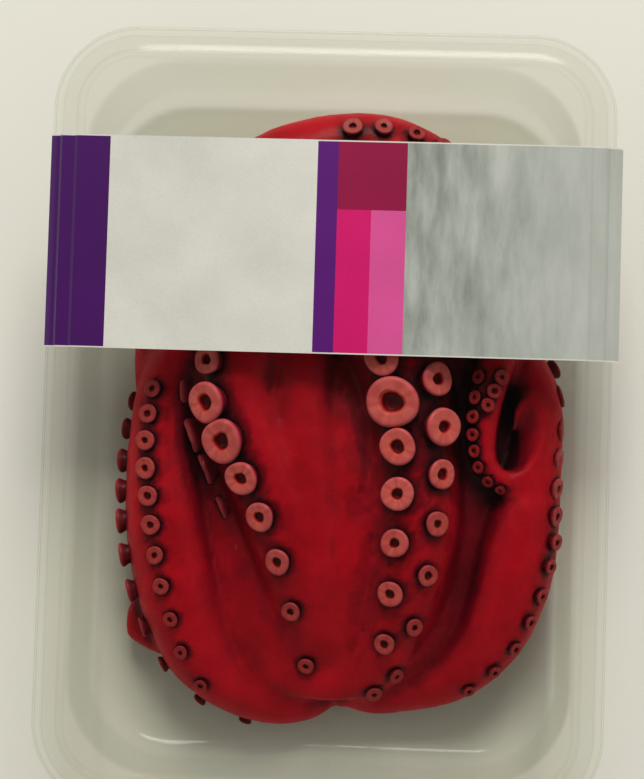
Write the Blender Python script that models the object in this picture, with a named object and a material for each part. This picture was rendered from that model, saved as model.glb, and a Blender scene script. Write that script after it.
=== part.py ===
# A whole cooked octopus sealed in a clear tray, under a lidding film and a label.
# Metres, +Z up. The origin is the centre of the tray's base, +X runs along the
# label and +Y along the tray's length, towards the end that carries the label.

import math

import bpy
import bmesh
from mathutils import Vector

MM = 0.001

# Tray, in millimetres. From its outer edge in, it has a skirt, a low lip, a flange
# with a sealing bead, and then the cavity, whose corners are rounder than the rim's.
TRAY_WIDTH = 190.0
TRAY_LENGTH = 263.0
TRAY_WALL = 0.7
RIM_HEIGHT = 48.0
RIM_CORNER = 28.4
SKIRT_HEIGHT = 3.2
LIP_WIDTH = 3.0
LIP_DROP = 0.8
LIP_ROUND = 0.6
LIP_STEP_RUN = 0.4
BEAD_START = 8.2
BEAD_WIDTH = 2.8
BEAD_HEIGHT = 0.7
BEAD_SLOPE = 0.7
BEAD_DIP = 0.3
CAVITY_INSET = 11.4
CAVITY_CORNER = 32.0
CAVITY_ROLL = ((0.0, 1.0), (0.5, 2.2))
WALL_LEAN = 2.6
FLOOR_FILLET = 8.0
FILLET_SHARES = (0.0, 0.33, 0.67, 1.0)
FILLET_TIGHTENING = 5.6
CORNER_STEPS = 6

# Film and label, in millimetres; touching sheets keep a small gap
SHEET_GAP = 0.3
FILM_THICKNESS = 0.2
FILM_INSET = 3.4
FILM_BEND = 0.4
FILM_EDGE_STRIP = 6.0
LABEL_THICKNESS = 0.25
LABEL_LEFT = -95.4
LABEL_RIGHT = 97.2
LABEL_FRONT = 21.8
LABEL_BACK = 93.8
LABEL_TURN_DOWN = 2.6
LABEL_EDGE_BEND = 0.5
LABEL_STEP_RUN = 1.2

# Octopus, in millimetres: the middle of the mass and its half sizes give the
# outward direction that the suckers face
FLOOR_LEVEL = 1.2
CEILING = 47.6
WALL_LIMIT = 81.4
MASS_CENTRE = Vector((4.0, 2.0, 14.0))
MASS_HALF = Vector((76.0, 106.0, 32.0))
ARM_SIDES = 10
RINGS_PER_SPAN = 2
TIP_REACH = 0.6
TIP_SHARE = 0.55
SEAT_SPANS = 8

# Sucker profiles as (height, radius), both as shares of the disc's radius
CUP_HEIGHT = 0.68
LARGE_DISC = 4.6
SMALL_DISC = 3.45
LARGE_DISC_SIDES = 10
DISC_SIDES = 8
SMALL_DISC_SIDES = 7
CUP_PROFILE = ((-0.55, 0.72), (0.10, 0.78), (0.46, 1.0), (CUP_HEIGHT, 0.90), (0.64, 0.40), (0.25, 0.27))
BUTTON_PROFILE = ((-0.55, 0.78), (0.36, 1.0), (0.62, 0.78), (0.36, 0.30))

# Where all the arms meet, as (x, y, z, radius)
CROWN = (3, 50, 25, 12)

# Each arm: its path of (x, y, z, radius) from the crown to the tip, and its
# sucker rows of (angle round the arm, first sucker, pitch, growth of the pitch,
# disc radii). The angle is measured from the outward direction, positive to
# the right of travel.
ARMS = {
    "left": {
        "path": (
            CROWN, (-20, 41, 24.5, 13), (-39, 31, 23, 13), (-52, 15, 21, 12.5),
            (-56, -6, 20.5, 13), (-54.5, -27, 20, 15), (-51.5, -47, 19, 16), (-46.5, -65, 17.5, 15.5),
            (-38.5, -82, 14.5, 13.5), (-22.5, -93.8, 11, 10.4), (-5, -95.3, 9, 7.9), (5, -87, 7, 5.4),
        ),
        "rows": (
            (-41, 73.3, 7.9, 0.22, (3.0, 3.3, 3.5, 3.7, 3.5, 3.4, 3.1, 2.9, 2.6, 2.5, 2.3)),
            (35, 69.9, 9.5, 0.2, (3.4, 3.8, 4.2, 4.4, 4.4, 4.3, 4.1, 3.5, 2.9, 2.6, 2.4)),
        ),
    },
    "front_left": {
        "path": (
            CROWN, (-15, 38, 26.5, 14), (-27, 26, 26, 15.5), (-30, 10, 25.5, 16.5),
            (-24, -7, 25, 17), (-16, -24, 24, 17.8), (-9.5, -41, 22.5, 17.8), (-5, -58, 20, 16.5),
            (-2, -73, 17, 13.8), (-2, -86, 12, 10), (-4, -91, 7.8, 6.6),
        ),
        "rows": (
            (-3, 41.2, 12.4, 0.42, (5.0, 6.7, 7.3, 5.4, 4.7, 4.2, 3.0, 2.6)),
            (52, 53.7, 9.8, 0.75, (6.6, 6.8, 5.6, 4.8, 4.2, 3.4, 2.8)),
        ),
    },
    "front_right": {
        "path": (
            CROWN, (16, 34, 26.5, 15), (23.5, 19, 26, 16.5), (27.5, 3, 25, 17.2),
            (29, -14, 24, 18), (28, -31, 23, 18.8), (26, -48, 21.5, 18), (23, -64, 19, 16),
            (19.5, -79, 15.5, 13), (17, -89, 11, 9.4), (12, -92, 7.8, 6.6),
        ),
        "rows": (
            (32, 29, 16.1, 0.1, (6.0, 8.7, 5.8, 5.4, 4.5, 4.0, 3.3, 2.7)),
            (-10, 29, 13.9, 0.3, (4.6, 5.7, 6.3, 4.7, 3.9, 3.4, 3.0, 2.6)),
        ),
    },
    "right": {
        "path": (
            CROWN, (24, 41, 23, 13), (46, 33, 19, 12.5), (64, 21, 18, 10.5),
            (72, 7, 21.5, 8.8), (72.4, -7, 22.5, 8.6), (70, -21, 22, 11), (66.8, -36, 20.5, 13.8),
            (63.5, -53, 18.5, 14.6), (57, -70.5, 15.5, 13.2), (45.5, -83.5, 13, 11), (30, -90, 10.5, 9),
            (15, -92.5, 9, 7.5), (7, -87, 7, 5.2),
        ),
        "rows": (
            (-8, 76, 8.9, 0.0, (3.6, 4.0, 4.1, 4.1, 3.9, 3.5, 3.0, 2.7, 2.6, 2.5, 2.4, 2.3, 2.2)),
        ),
    },
    "curled": {
        "path": (
            CROWN, (26, 58, 26, 13.5), (46, 56, 25, 13), (58, 44, 26, 10.5),
            (59.5, 32, 28.5, 8), (56.5, 20, 30.5, 6.6), (54, 8, 31.5, 5.8), (53, -4, 31.5, 5.1),
            (55, -14, 31.5, 4.4), (62, -18.5, 31, 3.8), (69.5, -14.5, 30.5, 3.2), (73.5, -6, 30, 2.8),
            (73, 4, 29.5, 2.4), (69, 10.5, 29.5, 2.0), (65, 6.5, 29, 1.7), (63.5, -1, 28.5, 1.2),
        ),
        "rows": (
            (60, 85, 5.6, 0.0, (2.4, 2.4, 2.4, 2.3, 2.2, 2.1, 2.0, 1.8)),
            (-5, 87, 5.4, 0.0, (2.6, 2.6, 2.4)),
        ),
    },
    "back": {
        "path": (
            CROWN, (-2, 68, 26, 12.5), (5, 80, 24.5, 12), (19, 85, 22, 11),
            (33, 79, 18.5, 9.5), (42, 68, 15, 8), (46, 56, 12, 6),
        ),
        "rows": (
            (-30, 40, 10.0, 0.0, (3.6, 3.0)),
        ),
    },
    "back_left": {
        "path": (
            CROWN, (-14, 64, 25.5, 13.5), (-25, 74, 23, 13.5), (-26, 85.5, 20, 12.5),
            (-14, 93, 17.5, 12), (2, 96.5, 16.5, 12.2), (18, 96.3, 15.5, 12), (33, 91, 13.5, 11),
            (46, 83, 11.5, 9), (55, 72, 9.5, 6.5),
        ),
        "rows": (
            (30, 26, 14.0, 0.0, (4.6, 4.2)),
            (52, 84, 9.6, 0.0, (3.4, 3.2, 3.0, 2.8)),
        ),
    },
    "back_edge": {
        "path": (
            CROWN, (-22, 54, 26, 13.5), (-38, 55, 24, 13), (-50, 47, 20, 12),
            (-57, 33, 15.5, 10.5), (-60, 17, 12, 9), (-59, 1, 9, 7.4),
        ),
        "rows": (
            (-20, 40, 12.0, 0.0, (3.6, 3.2)),
        ),
    },
}

# Rounded masses under and between the arms as (centre, half sizes)
MASSES = {
    "body": ((2, -4, 20), (62, 92, 12)),
    "mantle": ((3, -12, 14.6), (35, 50, 13.2)),
    "head": ((4, 44, 15), (24, 26, 12.6)),
    "front web": ((5, -24, 19), (22, 64, 19)),
    "side web": ((-34, -34, 15), (20, 46, 12)),
    "back web": ((12, 74, 17), (42, 32, 15)),
    "right web": ((50, -24, 9.5), (24, 58, 8)),
    "crown": ((3, 50, 25), (22, 20, 15)),
}

# A pointed fold of skin that lies out from under the left arm
SKIN_FOLD = ((-46, -64, 10, 15), (-58, -70, 9.5, 14), (-65, -73.5, 9, 8), (-69, -75.5, 9, 1))
SKIN_FOLD_FLATNESS = 0.42

# Colour, roughness and opacity of each material, and the edges kept sharp
TRAY_LOOK = ((0.78, 0.80, 0.76), 0.12, 0.35)
OCTOPUS_LOOK = ((0.42, 0.02, 0.035), 0.30, 1.0)
FILM_LOOK = ((0.90, 0.91, 0.90), 0.08, 0.25)
LABEL_LOOK = ((0.80, 0.80, 0.76), 0.35, 1.0)
SMOOTH_BELOW = 50
LABEL_SMOOTH_BELOW = 30


def clear_scene():
    for item in list(bpy.data.objects):
        bpy.data.objects.remove(item, do_unlink=True)


def material(name, colour, roughness, alpha):
    new = bpy.data.materials.new(name)
    new.use_nodes = True
    shader = new.node_tree.nodes["Principled BSDF"]
    shader.inputs["Base Color"].default_value = (*colour, 1.0)
    shader.inputs["Roughness"].default_value = roughness
    shader.inputs["Metallic"].default_value = 0.0
    shader.inputs["Alpha"].default_value = alpha
    return new


def add_object(name, mesh, surface, collection=None):
    item = bpy.data.objects.new(name, mesh)
    (collection or bpy.context.scene.collection).objects.link(item)
    if surface:
        mesh.materials.append(surface)
    return item


def mesh_from(name, points, faces):
    # Points are in millimetres; the mesh is closed and faces out
    build = bmesh.new()
    corners = [build.verts.new(Vector(point) * MM) for point in points]
    for face in faces:
        build.faces.new([corners[index] for index in face])
    bmesh.ops.recalc_face_normals(build, faces=build.faces)
    bmesh.ops.triangulate(build, faces=[face for face in build.faces if len(face.verts) > 4])
    mesh = bpy.data.meshes.new(name)
    build.to_mesh(mesh)
    build.free()
    return mesh


def bridged_rings(rings, closed_ends=True):
    # Faces between rings of equal length that follow each other
    count = len(rings[0])
    points = [point for ring in rings for point in ring]
    faces = []
    for ring in range(len(rings) - 1):
        low = ring * count
        for side in range(count):
            step = (side + 1) % count
            faces.append((low + side, low + step, low + count + step, low + count + side))
    if closed_ends:
        last = (len(rings) - 1) * count
        faces.append(tuple(reversed(range(count))))
        faces.append(tuple(range(last, last + count)))
    return points, faces


def rim_outline(inset, corner, height):
    # A rounded rectangle, set in from the tray's outer edge
    half_x = TRAY_WIDTH / 2 - inset
    half_y = TRAY_LENGTH / 2 - inset
    outline = []
    for quarter, (side_x, side_y) in enumerate(((1, 1), (-1, 1), (-1, -1), (1, -1))):
        for step in range(CORNER_STEPS + 1):
            turn = math.radians(90 * (quarter + step / CORNER_STEPS))
            outline.append((
                side_x * (half_x - corner) + corner * math.cos(turn),
                side_y * (half_y - corner) + corner * math.sin(turn),
                height,
            ))
    return outline


def rim_station(inset, height):
    # A station of the tray's section whose corner is concentric with the rim's
    return inset, RIM_CORNER - inset, height


def tray_section():
    # The tray's upper side from the skirt's foot in to the floor, as stations of
    # (inset, corner radius, height)
    lip_top = RIM_HEIGHT - LIP_DROP
    bead_top = RIM_HEIGHT + BEAD_HEIGHT
    bead_end = BEAD_START + BEAD_WIDTH
    section = [
        rim_station(0.0, RIM_HEIGHT - SKIRT_HEIGHT),
        rim_station(0.0, lip_top - LIP_ROUND),
        rim_station(LIP_ROUND, lip_top),
        rim_station(LIP_WIDTH - LIP_STEP_RUN, lip_top),
        rim_station(LIP_WIDTH, RIM_HEIGHT),
        rim_station(BEAD_START, RIM_HEIGHT),
        rim_station(BEAD_START + BEAD_SLOPE, bead_top),
        rim_station(bead_end - BEAD_SLOPE, bead_top),
        rim_station(bead_end, RIM_HEIGHT - BEAD_DIP),
    ]
    for inset, drop in CAVITY_ROLL:
        section.append((CAVITY_INSET + inset, CAVITY_CORNER - inset, RIM_HEIGHT - drop))
    for share in FILLET_SHARES:
        turn = share * math.pi / 2
        section.append((
            CAVITY_INSET + WALL_LEAN + FLOOR_FILLET * (1 - math.cos(turn)),
            CAVITY_CORNER - WALL_LEAN - FILLET_TIGHTENING * share,
            TRAY_WALL + FLOOR_FILLET * (1 - math.sin(turn)),
        ))
    return section


def underside(section, thickness):
    # The same section one wall's thickness below, measured square to the wall
    shifted = []
    for index, (inset, corner, height) in enumerate(section):
        normals = []
        for start, end in ((index - 1, index), (index, index + 1)):
            if start < 0 or end >= len(section):
                continue
            run = section[end][0] - section[start][0]
            rise = section[end][2] - section[start][2]
            length = math.hypot(run, rise)
            normals.append((rise / length, -run / length))
        if len(normals) == 1:
            normals *= 2
        across = (normals[0][0] + normals[1][0]) / 2
        down = (normals[0][1] + normals[1][1]) / 2
        stretch = thickness / (across ** 2 + down ** 2)
        shifted.append((inset + across * stretch, corner - across * stretch, height + down * stretch))
    shifted[-1] = (shifted[-1][0], shifted[-1][1], section[-1][2] - thickness)
    return shifted


def make_tray(surface):
    upper = tray_section()
    under = underside(upper, TRAY_WALL)
    loops = [rim_outline(*station) for station in reversed(under)]
    loops += [rim_outline(*station) for station in upper]
    points, faces = bridged_rings(loops)
    add_object("tray", mesh_from("tray", points, faces), surface)


def film_stations(offset):
    # The film lies on the flange, climbs the bead and spans the cavity
    low = RIM_HEIGHT + offset
    high = low + BEAD_HEIGHT
    return [
        rim_station(FILM_INSET, low),
        rim_station(BEAD_START - FILM_BEND, low),
        rim_station(BEAD_START + FILM_BEND, high),
        (CAVITY_INSET + FILM_EDGE_STRIP, RIM_CORNER - CAVITY_INSET, high),
    ]


def make_film(surface):
    lower = [rim_outline(*station) for station in reversed(film_stations(SHEET_GAP))]
    upper = [rim_outline(*station) for station in film_stations(SHEET_GAP + FILM_THICKNESS)]
    points, faces = bridged_rings(lower + upper)
    add_object("film", mesh_from("film", points, faces), surface)


def label_bends():
    # The label's lower face as (inset from the tray's edge, height): turned down
    # outside the rim, then over the lip, the flange and the bead
    on_lip = RIM_HEIGHT - LIP_DROP + SHEET_GAP
    on_flange = RIM_HEIGHT + FILM_THICKNESS + 2 * SHEET_GAP
    on_film = on_flange + BEAD_HEIGHT
    return (
        (-LIP_WIDTH, on_lip - LABEL_TURN_DOWN),
        (-LABEL_EDGE_BEND, on_lip - LABEL_EDGE_BEND),
        (LABEL_EDGE_BEND, on_lip),
        (FILM_INSET - LABEL_STEP_RUN, on_lip),
        (FILM_INSET, on_flange),
        (BEAD_START - LABEL_EDGE_BEND, on_flange),
        (BEAD_START + LABEL_EDGE_BEND, on_film),
        (TRAY_WIDTH / 2, on_film),
    )


def label_height(x):
    inset = TRAY_WIDTH / 2 - abs(x)
    bends = label_bends()
    for (start, low), (end, high) in zip(bends, bends[1:]):
        if inset <= end:
            share = (inset - start) / (end - start)
            return low + share * (high - low)
    return bends[-1][1]


def make_label(surface):
    half_width = TRAY_WIDTH / 2
    insets = [inset for inset, height in label_bends()[1:-1]]
    stations = [LABEL_LEFT] + [inset - half_width for inset in insets if inset - half_width > LABEL_LEFT]
    stations += [half_width - inset for inset in reversed(insets)] + [LABEL_RIGHT]
    lower = [(x, label_height(x)) for x in stations]
    upper = [(x, z + LABEL_THICKNESS) for x, z in reversed(lower)]
    section = lower + upper
    rings = [[(x, y, z) for x, z in section] for y in (LABEL_FRONT, LABEL_BACK)]
    points, faces = bridged_rings(rings, closed_ends=False)
    count = len(section)
    for base in (0, count):
        for index in range(len(lower) - 1):
            other = count - 1 - index
            faces.append((base + index, base + index + 1, base + other - 1, base + other))
    add_object("label", mesh_from("label", points, faces), surface)


def smooth_path(points, spans):
    # A smooth curve through (x, y, z, radius) points
    ends = [points[0]] + list(points) + [points[-1]]
    samples = []
    for index in range(1, len(ends) - 2):
        before, start, end, after = ends[index - 1:index + 3]
        for step in range(spans):
            t = step / spans
            samples.append(tuple(
                0.5 * (2 * b + (c - a) * t + (2 * a - 5 * b + 4 * c - d) * t ** 2
                       + (3 * b - a - 3 * c + d) * t ** 3)
                for a, b, c, d in zip(before, start, end, after)))
    samples.append(tuple(points[-1]))
    return samples


def tangents(centres):
    last = len(centres) - 1
    return [(centres[min(i + 1, last)] - centres[max(i - 1, 0)]).normalized() for i in range(last + 1)]


def tube(path, sides=ARM_SIDES, spans=RINGS_PER_SPAN, flatness=1.0):
    # A tapered round-tipped limb along the path
    samples = smooth_path(path, spans)
    centres = [Vector(sample[:3]) for sample in samples]
    radii = [sample[3] for sample in samples]
    heading = tangents(centres)
    side = heading[0].orthogonal().normalized()
    rings = []
    for centre, radius, along in zip(centres, radii, heading):
        side = (side - along * side.dot(along)).normalized()
        across = along.cross(side)
        ring = []
        for step in range(sides):
            turn = 2 * math.pi * step / sides
            offset = (side * math.cos(turn) + across * math.sin(turn)) * radius
            offset.z *= flatness
            ring.append(centre + offset)
        rings.append(ring)
    tip_centre = centres[-1] + heading[-1] * radii[-1] * TIP_REACH
    rings.append([tip_centre + (point - centres[-1]) * TIP_SHARE for point in rings[-1]])
    return bridged_rings(rings)


def outward(point):
    # The direction away from the middle of the whole mass
    away = point - MASS_CENTRE
    return Vector((
        away.x / MASS_HALF.x ** 2, away.y / MASS_HALF.y ** 2, away.z / MASS_HALF.z ** 2)).normalized()


def sucker(base, axis, radius):
    profile = CUP_PROFILE
    sides = LARGE_DISC_SIDES if radius > LARGE_DISC else DISC_SIDES
    if radius <= SMALL_DISC:
        profile = BUTTON_PROFILE
        sides = SMALL_DISC_SIDES
    side = axis.orthogonal().normalized()
    across = axis.cross(side)
    rings = []
    for height, share in profile:
        rings.append([
            base + axis * height * radius
            + (side * math.cos(2 * math.pi * step / sides)
               + across * math.sin(2 * math.pi * step / sides)) * share * radius
            for step in range(sides)])
    return bridged_rings(rings)


def disc_reach(share):
    # How far a disc reaches along an axis, in radii, from its share of that axis
    return CUP_HEIGHT * max(share, 0.0) + math.sqrt(1 - share * share)


def sucker_seats(path, row):
    # Where each sucker of a row sits on its arm, and the way it faces
    angle, first, pitch, growth, radii = row
    turn = math.radians(angle)
    samples = smooth_path(path, SEAT_SPANS)
    centres = [Vector(sample[:3]) for sample in samples]
    heading = tangents(centres)
    travelled = [0.0]
    for before, after in zip(centres, centres[1:]):
        travelled.append(travelled[-1] + (after - before).length)
    seats = []
    for count, radius in enumerate(radii):
        wanted = first + count * pitch + count * count * growth
        if wanted >= travelled[-1]:
            break
        index = next(i for i, distance in enumerate(travelled) if distance > wanted)
        share = (wanted - travelled[index - 1]) / (travelled[index] - travelled[index - 1])
        centre = centres[index - 1].lerp(centres[index], share)
        along = heading[index - 1].lerp(heading[index], share).normalized()
        arm_radius = samples[index - 1][3] + share * (samples[index][3] - samples[index - 1][3])
        up = outward(centre)
        up = (up - along * up.dot(along)).normalized()
        axis = up * math.cos(turn) + along.cross(up) * math.sin(turn)
        base = centre + axis * arm_radius
        base.z -= max(0.0, base.z + disc_reach(axis.z) * radius - CEILING)
        base.x -= max(0.0, base.x + disc_reach(axis.x) * radius - WALL_LIMIT)
        if base.z - radius > FLOOR_LEVEL:
            seats.append((base, axis, radius))
    return seats


def ball(centre, half_sizes, around=12, down=7):
    rings = []
    for ring in range(1, down):
        polar = math.pi * ring / down
        rings.append([
            Vector(centre) + Vector((
                half_sizes[0] * math.sin(polar) * math.cos(2 * math.pi * step / around),
                half_sizes[1] * math.sin(polar) * math.sin(2 * math.pi * step / around),
                half_sizes[2] * math.cos(polar)))
            for step in range(around)])
    return bridged_rings(rings)


def keep_outer_shell(mesh):
    # Drops the skin of any hollow that the fusing sealed, and loose scraps
    build = bmesh.new()
    build.from_mesh(mesh)
    left = set(build.verts)
    shells = []
    while left:
        reached = {left.pop()}
        edge_of = list(reached)
        while edge_of:
            vert = edge_of.pop()
            for edge in vert.link_edges:
                other = edge.other_vert(vert)
                if other not in reached:
                    reached.add(other)
                    edge_of.append(other)
        left -= reached
        shells.append(reached)
    shells.sort(key=len)
    for shell in shells[:-1]:
        bmesh.ops.delete(build, geom=list(shell), context="VERTS")
    build.to_mesh(mesh)
    build.free()


def make_octopus(surface):
    pieces = bpy.data.collections.new("octopus pieces")
    bpy.context.scene.collection.children.link(pieces)
    shapes = [(name, ball(*mass)) for name, mass in MASSES.items() if name != "body"]
    shapes.append(("skin fold", tube(SKIN_FOLD, flatness=SKIN_FOLD_FLATNESS)))
    for name, arm in ARMS.items():
        shapes.append((name + " arm", tube(arm["path"])))
        for row in arm["rows"]:
            for base, axis, radius in sucker_seats(arm["path"], row):
                shapes.append((name + " sucker", sucker(base, axis, radius)))
    for name, (points, faces) in shapes:
        add_object(name, mesh_from(name, points, faces), None, pieces)
    octopus = add_object("octopus", mesh_from("octopus", *ball(*MASSES["body"])), surface)
    joining = octopus.modifiers.new("join", "BOOLEAN")
    joining.operation = "UNION"
    joining.operand_type = "COLLECTION"
    joining.collection = pieces
    joining.solver = "EXACT"
    evaluated = octopus.evaluated_get(bpy.context.evaluated_depsgraph_get())
    fused = bpy.data.meshes.new_from_object(evaluated)
    octopus.modifiers.clear()
    for item in list(pieces.objects):
        bpy.data.objects.remove(item, do_unlink=True)
    bpy.data.collections.remove(pieces)
    keep_outer_shell(fused)
    octopus.data = fused
    fused.materials.clear()
    fused.materials.append(surface)


def shade(name, angle):
    mesh = bpy.data.objects[name].data
    mesh.shade_smooth()
    mesh.set_sharp_from_angle(angle=math.radians(angle))


def main():
    clear_scene()
    make_tray(material("clear tray", *TRAY_LOOK))
    make_octopus(material("cooked octopus", *OCTOPUS_LOOK))
    make_film(material("clear film", *FILM_LOOK))
    make_label(material("printed label", *LABEL_LOOK))
    for name in ("tray", "octopus", "film"):
        shade(name, SMOOTH_BELOW)
    shade("label", LABEL_SMOOTH_BELOW)


main()
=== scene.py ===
# A whole cooked octopus sealed in a clear tray, under a lidding film and a label:
# the looks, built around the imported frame. The frame is in metres. The sizes below
# are in millimetres, as MM turns them into metres.

import math
import random

import bpy
import bmesh
import numpy as np
from mathutils import Matrix, Vector, noise
from mathutils.bvhtree import BVHTree


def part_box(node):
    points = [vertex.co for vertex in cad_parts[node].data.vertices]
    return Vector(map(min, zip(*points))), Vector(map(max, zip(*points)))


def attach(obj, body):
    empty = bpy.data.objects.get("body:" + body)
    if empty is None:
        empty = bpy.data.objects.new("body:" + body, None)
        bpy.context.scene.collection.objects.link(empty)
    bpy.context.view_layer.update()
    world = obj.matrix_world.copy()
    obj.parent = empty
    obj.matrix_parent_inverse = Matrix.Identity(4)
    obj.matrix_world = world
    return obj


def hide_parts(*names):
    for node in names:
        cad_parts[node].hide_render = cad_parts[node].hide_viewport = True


MM = 0.001

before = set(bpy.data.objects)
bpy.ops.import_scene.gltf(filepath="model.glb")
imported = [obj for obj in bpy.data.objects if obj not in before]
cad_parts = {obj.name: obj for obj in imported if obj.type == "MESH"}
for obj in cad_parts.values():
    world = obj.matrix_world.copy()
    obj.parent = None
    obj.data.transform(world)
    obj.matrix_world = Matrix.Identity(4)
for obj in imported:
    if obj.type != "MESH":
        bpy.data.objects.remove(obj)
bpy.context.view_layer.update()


# Sizes read from the frame

def millimetres(corner):
    return Vector(corner) / MM


TRAY_LOW, TRAY_HIGH = (millimetres(corner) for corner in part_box("tray"))
LABEL_LOW, LABEL_HIGH = (millimetres(corner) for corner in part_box("label"))
OCTOPUS_LOW, OCTOPUS_HIGH = (millimetres(corner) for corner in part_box("octopus"))
TRAY_WIDTH = TRAY_HIGH.x - TRAY_LOW.x
TRAY_LENGTH = TRAY_HIGH.y - TRAY_LOW.y

# Where all the arms meet, as (x, y, z, radius)
CROWN = (3, 50, 25, 12)

# Each arm: its path of (x, y, z, radius) from the crown to the tip, and its
# sucker rows of (angle round the arm, change of the angle from sucker to sucker,
# first sucker, pitch, growth of the pitch, disc radii). The angle is measured
# from the outward direction, positive to the right of travel.
ARMS = {
    "left": {
        "path": (
            CROWN, (-20, 41, 24.5, 13), (-39, 31, 23, 13), (-52, 15, 21, 12.5),
            (-56, -6, 20.5, 13), (-54.5, -27, 20, 15), (-51.5, -47, 19, 16), (-46.5, -65, 17.5, 15.5),
            (-38.5, -82, 14.5, 13.5), (-22.5, -93.8, 11, 10.4), (-5, -95.3, 9, 7.9), (5, -87, 7, 5.4),
        ),
        "rows": (
            (-32, -2.3, 74.1, 8.0, 0.17, (3.0, 3.3, 3.5, 3.7, 3.5, 3.4, 3.1, 2.9, 2.6, 2.5, 2.3)),
            (53, -5.3, 78.8, 8.4, 0.26, (3.4, 3.8, 4.2, 4.4, 4.4, 4.3, 4.1, 3.5, 2.9, 2.6, 2.4)),
        ),
    },
    "front_left": {
        "path": (
            CROWN, (-15, 38, 26.5, 14), (-27, 26, 26, 15.5), (-30, 10, 25.5, 16.5),
            (-24, -7, 25, 17), (-16, -24, 24, 17.8), (-9.5, -41, 22.5, 17.8), (-5, -58, 20, 16.5),
            (-2, -73, 17, 13.8), (-2, -86, 12, 10), (-4, -91, 7.8, 6.6),
        ),
        "rows": (
            (9, -1.8, 47.3, 9.7, 0.71, (5.2, 7.0, 7.6, 5.8, 5.0, 4.4, 3.3, 2.8)),
            (58, 1.3, 54.1, 8.5, 1.14, (6.6, 6.8, 5.8, 5.0, 4.4, 3.5, 2.9)),
        ),
    },
    "front_right": {
        "path": (
            CROWN, (16, 34, 26.5, 15), (23.5, 19, 26, 16.5), (27.5, 3, 25, 17.2),
            (29, -14, 24, 18), (29, -31, 23, 18.8), (27.5, -48, 21.5, 18), (24, -64, 19, 16),
            (18.5, -79, 15.5, 13), (13, -89, 11, 9.4), (7, -92, 7.8, 6.6),
        ),
        "rows": (
            (29, 2.6, 32.2, 15.7, 0.09, (6.0, 8.9, 6.2, 5.7, 4.8, 4.3, 3.5, 2.8)),
            (-23, 5.7, 29.9, 13.8, 0.25, (4.6, 5.9, 6.6, 5.0, 4.2, 3.6, 3.1, 2.7)),
        ),
    },
    "right": {
        "path": (
            CROWN, (24, 41, 23, 13), (46, 33, 19, 12.5), (64, 21, 18, 10.5),
            (72, 7, 21.5, 8.8), (72.4, -7, 22.5, 8.6), (70, -21, 22, 11), (66.8, -36, 20.5, 13.8),
            (63.5, -53, 18.5, 14.6), (57, -70.5, 15.5, 13.2), (45.5, -83.5, 13, 11), (30, -90, 10.5, 9),
            (15, -92.5, 9, 7.5), (7, -87, 7, 5.2),
        ),
        "rows": (
            (-40, 7.3, 74.9, 8.9, 0.0, (3.6, 4.0, 4.1, 4.1, 3.9, 3.5, 3.0, 2.7, 2.6, 2.5, 2.4, 2.3, 2.2)),
        ),
    },
    "curled": {
        "path": (
            CROWN, (26, 58, 26, 13.5), (46, 56, 25, 13), (58, 44, 26, 10.5),
            (59.5, 32, 28.5, 8), (56.5, 20, 30.5, 6.6), (54, 8, 31.5, 5.8), (53, -4, 31.5, 5.1),
            (55, -14, 31.5, 4.4), (62, -18.5, 31, 3.8), (69.5, -14.5, 30.5, 3.2), (73.5, -6, 30, 2.8),
            (73, 4, 29.5, 2.4), (69, 10.5, 29.5, 2.0), (65, 6.5, 29, 1.7), (63.5, -1, 28.5, 1.2),
        ),
        "rows": (
            (65, -1.6, 92.4, 6.8, -0.23, (2.4, 2.4, 2.4, 2.3, 2.2, 2.1, 2.0, 1.8)),
            (4, 8.9, 90.8, 5.1, -0.06, (2.6, 2.6, 2.4)),
        ),
    },
    "back": {
        "path": (
            CROWN, (-2, 68, 26, 12.5), (5, 80, 24.5, 12), (19, 85, 22, 11),
            (33, 79, 18.5, 9.5), (42, 68, 15, 8), (46, 56, 12, 6),
        ),
        "rows": (
            (-30, 0, 40, 10.0, 0.0, (3.6, 3.0)),
        ),
    },
    "back_left": {
        "path": (
            CROWN, (-14, 64, 25.5, 13.5), (-25, 74, 23, 13.5), (-26, 85.5, 20, 12.5),
            (-14, 93, 17.5, 12), (2, 96.5, 16.5, 12.2), (18, 96.3, 15.5, 12), (33, 91, 13.5, 11),
            (46, 83, 11.5, 9), (55, 72, 9.5, 6.5),
        ),
        "rows": (
            (30, 0, 26, 14.0, 0.0, (4.6, 4.2)),
            (52, 0, 84, 9.6, 0.0, (3.4, 3.2, 3.0, 2.8)),
        ),
    },
    "back_edge": {
        "path": (
            CROWN, (-22, 54, 26, 13.5), (-38, 55, 24, 13), (-50, 47, 20, 12),
            (-57, 33, 15.5, 10.5), (-60, 17, 12, 9), (-59, 1, 9, 7.4),
        ),
        "rows": (
            (-20, 0, 40, 12.0, 0.0, (3.6, 3.2)),
        ),
    },
}

# Rounded masses under and between the arms as (centre, half sizes)
MASSES = {
    "body": ((2, -4, 20), (62, 92, 12)),
    "mantle": ((3, -12, 14.6), (35, 50, 13.2)),
    "head": ((4, 44, 15), (24, 26, 12.6)),
    "front web": ((5, -24, 19), (22, 64, 19)),
    "side web": ((-34, -34, 15), (20, 46, 12)),
    "back web": ((12, 74, 17), (42, 32, 15)),
    "right web": ((50, -24, 9.5), (24, 58, 8)),
    "crown": ((3, 50, 25), (22, 20, 15)),
}

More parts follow.
